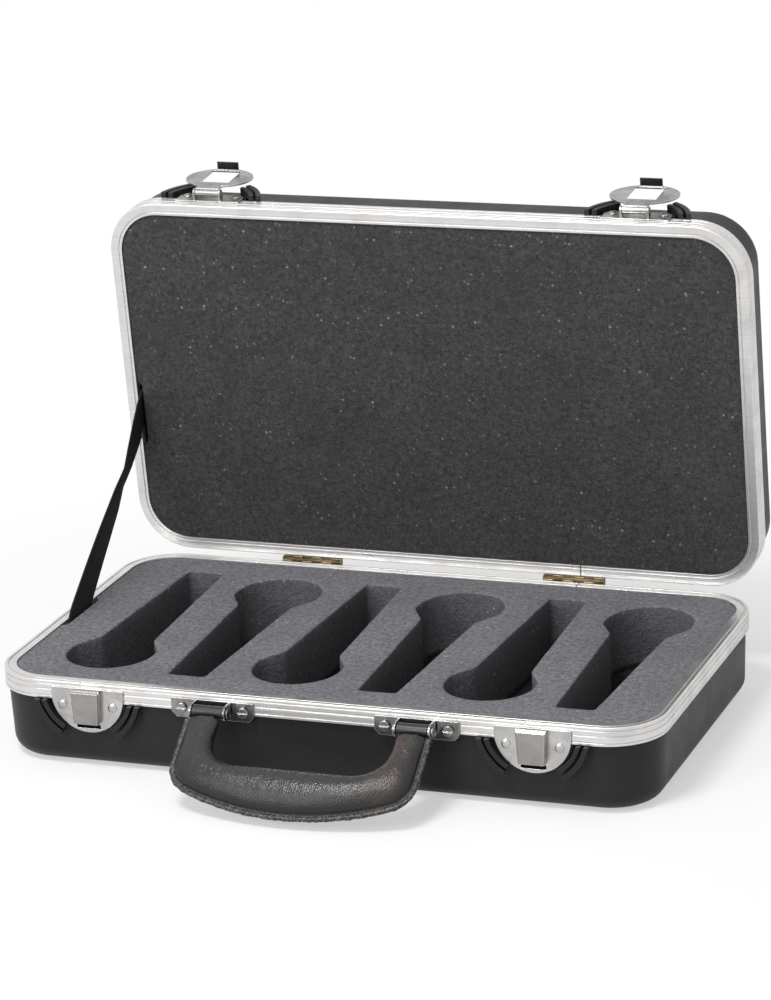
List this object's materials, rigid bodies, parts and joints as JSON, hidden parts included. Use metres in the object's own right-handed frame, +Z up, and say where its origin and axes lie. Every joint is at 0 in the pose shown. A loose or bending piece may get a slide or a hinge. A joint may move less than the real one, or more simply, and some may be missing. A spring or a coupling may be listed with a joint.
{
  "type": "microphone case",
  "caption": "Moulded hard case with aluminium frame, shaped foam microphone pockets, padded hinged lid, hasp latches and carrying handle.",
  "frame": {"origin": "centre of the base's underside, on the surface the case stands on", "axes": "+Z up, X along the hinge line and the case's length, -Y towards the handle and latches"},
  "size_m": [0.3994, 0.3308, 0.2978],
  "materials": {
    "case_plastic": "fine matt grain, near black",
    "frame_aluminium": "satin extruded",
    "base_foam": "open-cell foam, mid grey",
    "lid_foam": "open-cell foam, charcoal",
    "webbing": "woven, black",
    "foot_rubber": "matt, black",
    "grip": "grained, black",
    "hinge_steel": "dull, brassy",
    "blackened_rivet": "black",
    "zinc": "bright zinc",
    "core_steel": "plain",
    "spring_steel": "plain",
    "nickel": "satin nickel plate"
  },
  "bodies": {
    "base": {"base_shell": "case_plastic", "base_feet": "foot_rubber", "base_valance": "frame_aluminium", "base_foam": "base_foam", "base_foam_pad": "base_foam", "latch_rivets": "nickel", "handle_screws": "zinc", "handle_nuts": "zinc", "hinge_rivets_base": "nickel", "strap_rivet_base": "blackened_rivet", "stay_strap": "webbing", "latch_plate_left": "nickel", "latch_pin_left": "nickel", "latch_spring_left": "spring_steel", "handle_bracket_left": "nickel", "handle_pin_left": "nickel", "hinge_leaf_base_left": "hinge_steel", "hinge_pin_left": "hinge_steel", "latch_plate_right": "nickel", "latch_pin_right": "nickel", "latch_spring_right": "spring_steel", "handle_bracket_right": "nickel", "handle_pin_right": "nickel", "hinge_leaf_base_right": "hinge_steel", "hinge_pin_right": "hinge_steel"},
    "lid": {"lid_shell": "case_plastic", "lid_valance": "frame_aluminium", "lid_foam": "lid_foam", "hinge_rivets_lid": "nickel", "strap_rivet_lid": "blackened_rivet", "hasp_rivets": "nickel", "hinge_leaf_lid_left": "hinge_steel", "hasp_bracket_left": "nickel", "hasp_pin_left": "nickel", "hinge_leaf_lid_right": "hinge_steel", "hasp_bracket_right": "nickel", "hasp_pin_right": "nickel"},
    "hasp_left": {"hasp_plate_left": "nickel"},
    "hasp_right": {"hasp_plate_right": "nickel"},
    "latch_lever_left": {"latch_lever_left": "nickel"},
    "latch_lever_right": {"latch_lever_right": "nickel"},
    "handle": {"handle_grip": "grip", "handle_core": "core_steel"}
  },
  "joints": [
    {"name": "lid_hinge", "type": "hinge", "parent": "base", "child": "lid", "pos_m": [0, 0.1156, 0.0528], "axis": [1, 0, 0], "range_deg": [0, 84.8], "deforming": ["stay_strap"]},
    {"name": "hasp_left_hinge", "type": "hinge", "parent": "lid", "child": "hasp_left", "pos_m": [-0.1357, 0.10293, 0.28691], "axis": [1, 0, 0], "range_deg": [0, 180]},
    {"name": "hasp_right_hinge", "type": "hinge", "parent": "lid", "child": "hasp_right", "pos_m": [0.1319, 0.10293, 0.28691], "axis": [1, 0, 0], "range_deg": [0, 180]},
    {"name": "latch_lever_left_hinge", "type": "hinge", "parent": "base", "child": "latch_lever_left", "pos_m": [-0.1357, -0.1159, 0.0469], "axis": [-1, 0, 0], "range_deg": [0, 25], "stiffness_Nm_per_rad": 0.02, "springref_deg": -17.19},
    {"name": "latch_lever_right_hinge", "type": "hinge", "parent": "base", "child": "latch_lever_right", "pos_m": [0.1319, -0.1159, 0.0469], "axis": [-1, 0, 0], "range_deg": [0, 25], "stiffness_Nm_per_rad": 0.02, "springref_deg": -17.19},
    {"name": "handle_swing", "type": "hinge", "parent": "base", "child": "handle", "pos_m": [0.0031, -0.1192, 0.044], "axis": [-1, 0, 0], "range_deg": [-44.3, 110.7]}
  ]
}
